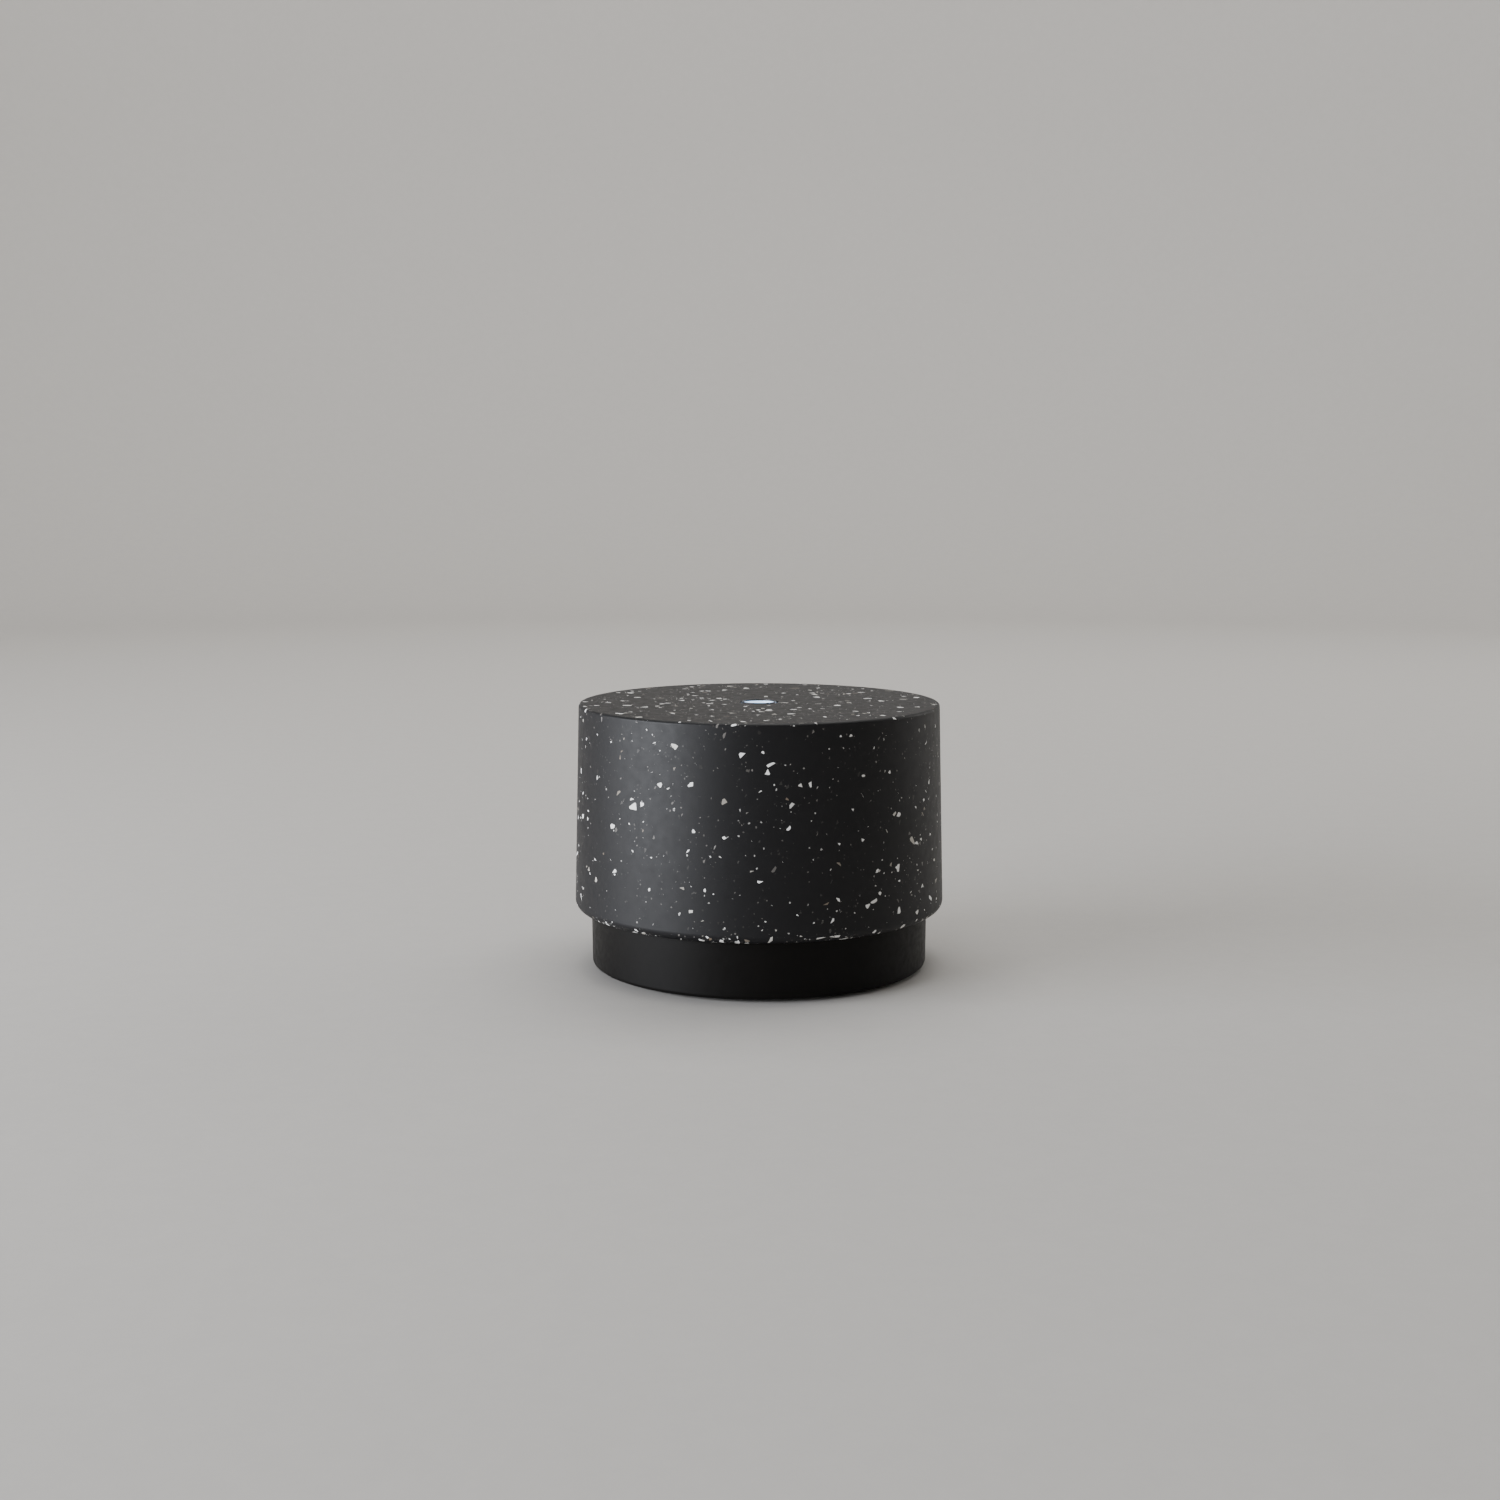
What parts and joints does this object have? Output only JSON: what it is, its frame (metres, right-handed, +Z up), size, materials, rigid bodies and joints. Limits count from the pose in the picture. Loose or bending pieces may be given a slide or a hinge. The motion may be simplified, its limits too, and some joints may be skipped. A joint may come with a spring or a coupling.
{
  "type": "essential oil diffuser",
  "caption": "Squat round ultrasonic oil diffuser: a terrazzo-look cover lifts off a black base with an inner lid, water tank, fan and boards inside.",
  "frame": {"origin": "middle of the underside, on the surface that the feet stand on", "axes": "+Z up along the axis of the round body; -Y is the front; the power inlet and the buttons are at +Y"},
  "size_m": [0.1298, 0.1298, 0.0932],
  "materials": {
    "terrazzo_black": "satin, with angular white and grey chips",
    "plastic_black": "matte, fine grain",
    "plastic_translucent": "translucent, satin",
    "silicone_white": "soft matte",
    "rubber_grey": "matte",
    "steel": "satin",
    "circuit_board": "solder mask",
    "copper": "enamelled copper wire",
    "fan_grey": "satin",
    "ferrite": "matte",
    "can_sleeve": "shrink sleeve",
    "chip_black": "matte",
    "aluminium": "extruded",
    "led_white": "clear resin over phosphor",
    "wire_sleeve": "satin sleeve"
  },
  "bodies": {
    "base": {"base_housing": "plastic_black", "bottom_cover": "plastic_black", "base_screw_1": "steel", "base_screw_2": "steel", "base_screw_3": "steel", "base_screw_4": "steel", "foot_1": "rubber_grey", "foot_2": "rubber_grey", "foot_3": "rubber_grey", "foot_4": "rubber_grey", "water_tank": "plastic_translucent", "air_pipe": "plastic_translucent", "tank_gasket": "silicone_white", "tank_screw_1": "steel", "tank_screw_2": "steel", "tank_screw_3": "steel", "piezo_disc": "steel", "piezo_seal": "silicone_white", "piezo_clamp": "steel", "piezo_screw_1": "steel", "piezo_screw_2": "steel", "fan_frame": "plastic_black", "fan_stator": "copper", "fan_screw_1": "steel", "fan_screw_2": "steel", "air_duct": "silicone_white", "main_board": "circuit_board", "board_screw_1": "steel", "board_screw_2": "steel", "driver_chip": "chip_black", "inductor": "ferrite", "capacitor": "can_sleeve", "heat_sink": "aluminium", "led_board": "circuit_board", "led_1": "led_white", "led_2": "led_white", "led_3": "led_white", "led_4": "led_white", "dc_jack": "plastic_black", "dc_pin": "steel", "mist_switch": "steel", "mist_switch_board": "circuit_board", "light_switch": "steel", "light_switch_board": "circuit_board", "piezo_wire": "wire_sleeve", "fan_wire": "wire_sleeve", "led_wire": "wire_sleeve", "power_wire": "wire_sleeve", "switch_wire": "wire_sleeve"},
    "cover": {"outer_cover": "terrazzo_black", "cover_seat_ring": "plastic_black"},
    "lid": {"tank_lid": "plastic_translucent", "mist_chimney": "plastic_translucent", "lid_seal": "silicone_white"},
    "fan": {"fan_rotor": "fan_grey"},
    "mist_key": {"mist_button": "plastic_black", "mist_plunger": "plastic_black"},
    "light_key": {"light_button": "plastic_black", "light_plunger": "plastic_black"}
  },
  "joints": [
    {"name": "cover_lift", "type": "slide", "parent": "base", "child": "cover", "axis": [0, 0, 1], "range_m": [0, 0.16]},
    {"name": "lid_lift", "type": "slide", "parent": "base", "child": "lid", "axis": [0, 0, 1], "range_m": [0, 0.065]},
    {"name": "fan_spin", "type": "hinge", "parent": "base", "child": "fan", "pos_m": [0.029, 0, 0.0095], "axis": [0, 0, 1], "continuous": true},
    {"name": "mist_press", "type": "slide", "parent": "base", "child": "mist_key", "axis": [0.4695, -0.8829, 0], "range_m": [0, 0.0008], "stiffness_N_per_m": 1500},
    {"name": "light_press", "type": "slide", "parent": "base", "child": "light_key", "axis": [-0.4695, -0.8829, 0], "range_m": [0, 0.0008], "stiffness_N_per_m": 1500}
  ],
  "couplings": [
    {"joint": "lid_lift", "follows": "cover_lift", "ratio": 0.4}
  ]
}
